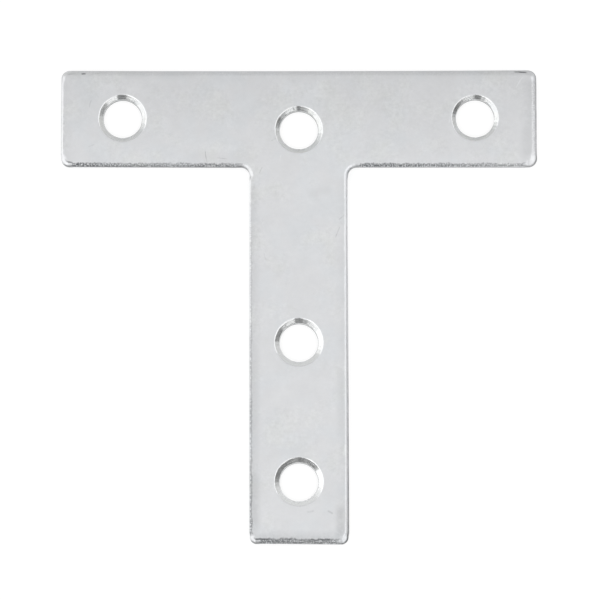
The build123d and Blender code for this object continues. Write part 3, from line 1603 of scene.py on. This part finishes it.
SEAT_PLATING = PlatedFinish(
    name="turned_zinc_seat",
    metal=(0.83, 0.84, 0.84),
    cool=(0.79, 0.83, 0.85),
    warm=(0.83, 0.84, 0.80),
    tint=0.4,
    shade=0.05,
    speck=0.06,
    cloud_size=2.0,
    gloss=0.10,
    dull=0.15,
    grain_size=0.12,
    grain_height=0.0015,
    torn_metal=(0.66, 0.67, 0.67),
    line_pitch=2.2,
    line_height=0.02,
    break_up=9.0,
    wear=0.3,
)
BACK_PLATING = PlatedFinish(
    name="satin_zinc_back",
    metal=(0.72, 0.73, 0.74),
    cool=(0.67, 0.71, 0.74),
    warm=(0.73, 0.73, 0.70),
    tint=0.6,
    shade=0.07,
    speck=0.08,
    cloud_size=11.0,
    gloss=0.34,
    dull=0.46,
    grain_size=0.18,
    rolling=0.4,
    grain_height=0.002,
    rubs=0.6,
    torn_metal=(0.45, 0.46, 0.48),
    torn_share=0.5,
    line_pitch=0.22,
    line_height=0.01,
    wear=0.2,
)
FINISHES = (FACE_PLATING, WALL_PLATING, SEAT_PLATING, BACK_PLATING)


# ---------------------------------------------------------------------------
# The plate
# ---------------------------------------------------------------------------


@dataclass(frozen=True)
class SeatShape:
    """How one countersink came out.

    Attributes:
        radius: its radius at the face.
        slope: degrees that its cone falls.
        shine: how much painted brightening the seat takes, from 0 to 1.
    """

    radius: float
    slope: float
    shine: float = 0.0


SEATS = {
    "left_crossbar_hole": SeatShape(4.05, 37.5),
    "junction_hole": SeatShape(4.03, 37.5),
    "right_crossbar_hole": SeatShape(3.95, 38.0),
    "stem_hole": SeatShape(4.10, 37.0, 0.5),
    "stem_end_hole": SeatShape(4.11, 39.5, 0.9),
}


@dataclass
class TeePlate:
    """The plate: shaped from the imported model's box and holes, then plated.

    Attributes:
        effects: the shared node groups.
        first_seed: random seed of the first mount's hole.
    """

    effects: SurfaceEffects
    first_seed: int = 21

    def holes(self) -> list[ScrewHole]:
        """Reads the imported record's bores.

        Returns:
            One countersunk hole for each bore.
        """
        found = []
        for seed, mount in enumerate(frame["record"]["mounts"], self.first_seed):
            if mount["kind"] != "bore":
                continue
            x, y, _ = (value / MM for value in mount["pos_m"])
            bore, land = mount["dims"]["r_mm"], mount["dims"]["length_mm"]
            seat = SEATS[mount["name"]]
            found.append(ScrewHole(x, y, bore, seat.radius, seat.slope, land, seat.shine, seed))
        return found

    def build(self) -> bpy.types.Object:
        """Builds and dresses the plate.

        Returns:
            The plate's one piece.
        """
        low, high = (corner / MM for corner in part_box(NODE))
        mesh = PlateMesh(Blank(low, high), self.holes(), high.z - low.z)
        piece = mesh.build("plated_tee")
        for finish in FINISHES:
            piece.data.materials.append(finish.material(self.effects))
        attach(piece, BODY)
        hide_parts(NODE)
        return piece


# ---------------------------------------------------------------------------
# The studio
# ---------------------------------------------------------------------------


@dataclass(frozen=True)
class SoftLamp:
    """A soft rectangular lamp that faces the plate and doesn't show itself.

    Attributes:
        name: name of the lamp.
        azimuth: degrees round from +X towards +Y.
        elevation: degrees above the floor.
        distance: metres from the plate's middle.
        width: metres across.
        height: metres up.
        glow: brightness of its surface, where 1 is white.
    """

    name: str
    azimuth: float
    elevation: float
    distance: float
    width: float
    height: float
    glow: float


@dataclass(frozen=True)
class GreyCard:
    """A grey card that the bright metal reflects and the camera doesn't see.

    Attributes:
        name: name of the card.
        azimuth: degrees round from +X towards +Y, at its middle.
        spread: degrees that it covers round the plate.
        distance: metres from the plate's middle.
        bottom: height of its lower edge in metres.
        top: height of its upper edge in metres.
        tone: how bright the card stands in the metal, where 1 is white.
        fade: degrees over which each end of the card thins out.
    """

    name: str
    azimuth: float
    spread: float
    distance: float
    bottom: float
    top: float
    tone: float
    fade: float = 14.0


@dataclass
class Studio:
    """The floor, the lamps, the cards and the camera.

    Attributes:
        target: middle of the plate, on the floor.
        room_tone: tone of the room.
        lamps: the lamps.
        cards: the cards.
        card_steps: flat strips that each curved card is made of.
        floor_half: half the floor's side in metres.
        floor_depth: how far in metres the floor lies under the plate's back.
        floor_tone: tone of the floor in the light that it throws back on the plate.
        seen_tone: tone of the seen floor that takes light and shadow.
        seen_glow: brightness that the seen floor adds to it.
        camera_place: where the camera stands, in metres.
        camera_ahead: the way that it looks.
        camera_up: the way that its top points, before it is squared to the look.
        lens: the camera's focal length in millimetres.
        sensor: width of its sensor in millimetres.
    """

    target: Vector
    room_tone: float = 0.80
    lamps: tuple[SoftLamp, ...] = (
        SoftLamp("overhead_lamp", 270.0, 80.0, 1.30, 1.10, 1.00, 0.11),
        SoftLamp("left_lamp", 196.0, 35.0, 0.70, 1.10, 0.72, 0.46),
        SoftLamp("back_left_lamp", 150.0, 33.0, 0.70, 0.26, 0.60, 0.20),
        SoftLamp("front_left_lamp", 241.0, 47.0, 0.80, 0.30, 0.30, 0.50),
        SoftLamp("right_lamp", 5.0, 47.0, 0.70, 0.60, 0.36, 0.55),
        SoftLamp("front_right_lamp", 305.0, 38.0, 0.70, 0.50, 0.42, 0.42),
    )
    cards: tuple[GreyCard, ...] = (
        GreyCard("front_card", 266.0, 27.0, 0.50, 0.0, 0.30, 0.19, 22.0),
        GreyCard("front_tall_card", 270.0, 14.0, 0.50, 0.30, 1.30, 0.26, 8.0),
        GreyCard("front_left_low_card", 232.0, 38.0, 0.502, 0.0, 0.173, 0.06, 20.0),
        GreyCard("front_right_low_card", 303.0, 46.0, 0.504, 0.0, 0.195, 0.11),
        GreyCard("right_low_card", 343.0, 44.0, 0.506, 0.0, 0.238, 0.19, 30.0),
        GreyCard("back_right_low_card", 21.0, 28.0, 0.508, 0.0, 0.163, 0.66),
        GreyCard("back_card", 87.5, 105.0, 0.60, 0.0, 1.10, 0.72),
    )
    card_steps: int = 40
    floor_half: float = 4.0
    floor_depth: float = 2e-5
    floor_tone: float = 0.9
    seen_tone: float = 0.24
    seen_glow: float = 0.82
    camera_place: tuple[float, float, float] = (0.0051, -0.1510, 0.8863)
    camera_ahead: tuple[float, float, float] = (-0.0055, 0.1367, -0.9906)
    camera_up: tuple[float, float, float] = (0.0011, 0.9906, 0.1367)
    lens: float = 320.66
    sensor: float = 36.0

    def build(self) -> None:
        """Builds the whole studio."""
        self._room()
        self._floor()
        for lamp in self.lamps:
            self._lamp(lamp)
        for card in self.cards:
            self._card(card)
        self._camera()

    @staticmethod
    def _grey(tone: float) -> tuple[float, float, float, float]:
        """Gives a plain grey."""
        return (tone, tone, tone, 1.0)

    @staticmethod
    def _direction(azimuth: float, elevation: float) -> Vector:
        """Gives the unit direction at an azimuth and an elevation in degrees."""
        a, e = math.radians(azimuth), math.radians(elevation)
        return Vector((math.cos(a) * math.cos(e), math.sin(a) * math.cos(e), math.sin(e)))

    def _room(self) -> None:
        """Gives the room one plain pale tone."""
        world = bpy.data.worlds.new("pale_room")
        world.use_nodes = True
        background = world.node_tree.nodes["Background"]
        background.inputs["Color"].default_value = self._grey(self.room_tone)
        background.inputs["Strength"].default_value = 1.0
        bpy.context.scene.world = world

    def _floor(self) -> None:
        """Lays a pale floor that keeps the plate's shadow."""
        half, mesh = self.floor_half, bpy.data.meshes.new("floor")
        corners = [(-half, -half), (half, -half), (half, half), (-half, half)]
        mesh.from_pydata([(x, y, -self.floor_depth) for x, y in corners], [], [(0, 1, 2, 3)])
        made, bench = start_material("white_floor")
        path = bench.node("ShaderNodeLightPath").outputs
        seen = bench.math("MAXIMUM", path["Is Camera Ray"], path["Is Glossy Ray"])
        seen = bench.math("MAXIMUM", seen, path["Is Transmission Ray"])
        cloth = bench.node("ShaderNodeBsdfDiffuse")
        bench.fed(cloth, {"Color": self._grey(self.floor_tone)})
        shaded = bench.node("ShaderNodeBsdfDiffuse")
        bench.fed(shaded, {"Color": self._grey(self.seen_tone)})
        glow = bench.fed(bench.node("ShaderNodeEmission"), {"Strength": self.seen_glow})
        both = bench.node("ShaderNodeAddShader")
        bench.fed(both, {0: shaded.outputs[0], 1: glow.outputs[0]})
        bench.surface(bench.mix_shaders(seen, cloth.outputs[0], both.outputs[0]))
        mesh.materials.append(made)
        add_object("floor", mesh)

    def _lamp(self, lamp: SoftLamp) -> None:
        """Hangs one soft lamp.

        Args:
            lamp: the lamp.
        """
        data = bpy.data.lights.new(lamp.name, "AREA")
        data.shape = "RECTANGLE"
        data.size, data.size_y = lamp.width, lamp.height
        data.energy = lamp.glow * math.pi * lamp.width * lamp.height
        placed = add_object(lamp.name, data)
        away = self._direction(lamp.azimuth, lamp.elevation)
        placed.location = self.target + away * lamp.distance
        placed.rotation_euler = away.to_track_quat("Z", "Y").to_euler()
        placed.visible_camera = False

    def _card(self, card: GreyCard) -> None:
        """Stands one curved grey card round the plate.

        Args:
            card: the card.
        """
        points, covers, width = [], [], card.spread + card.fade
        for step in range(self.card_steps + 1):
            turn = width * (step / self.card_steps - 0.5)
            away = self._direction(card.azimuth + turn, 0.0) * card.distance
            cover = ease(min(1.0, (width / 2 - abs(turn)) / card.fade))
            for height in (card.bottom, card.top):
                points.append((self.target.x + away.x, self.target.y + away.y, height))
                covers.append(cover)
        starts = range(0, 2 * self.card_steps, 2)
        mesh = bpy.data.meshes.new(card.name)
        mesh.from_pydata(points, [], [(at, at + 2, at + 3, at + 1) for at in starts])
        mesh.attributes.new("cover", "FLOAT", "POINT").data.foreach_set("value", covers)
        made, bench = start_material(card.name)
        tone = bench.fed(bench.node("ShaderNodeEmission"), {"Color": self._grey(card.tone)})
        clear = bench.node("ShaderNodeBsdfTransparent")
        cover = bench.value_of("cover")
        bench.surface(bench.mix_shaders(cover, clear.outputs[0], tone.outputs[0]))
        mesh.materials.append(made)
        placed = add_object(card.name, mesh)
        placed.visible_camera = False
        placed.visible_diffuse = False
        placed.visible_shadow = False

    def _camera(self) -> None:
        """Sets the camera over the plate, long in the lens and a little down the stem."""
        data = bpy.data.cameras.new("camera")
        data.sensor_width = self.sensor
        data.lens = self.lens
        placed = add_object("camera", data)
        placed.location = self.camera_place
        ahead = Vector(self.camera_ahead).normalized()
        side = ahead.cross(Vector(self.camera_up)).normalized()
        turned = placed.matrix_world.to_3x3()
        turned.col[0], turned.col[1], turned.col[2] = side, side.cross(ahead), -ahead
        placed.rotation_euler = turned.to_euler()
        bpy.context.scene.camera = placed


def main() -> None:
    """Builds the plate and the studio, and reports each piece."""
    logging.basicConfig(level=logging.INFO, format="%(name)s: %(message)s", stream=sys.stdout)
    bpy.context.scene.view_settings.view_transform = "Standard"
    low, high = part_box(NODE)
    middle = (low + high) / 2
    Studio(Vector((middle.x, middle.y, 0.0))).build()
    LOG.info("studio: floor, lamps, cards and camera")
    piece = TeePlate(SurfaceEffects()).build()
    LOG.info("%s: %d faces", piece.name, len(piece.data.polygons))


if __name__ == "__main__":
    main()
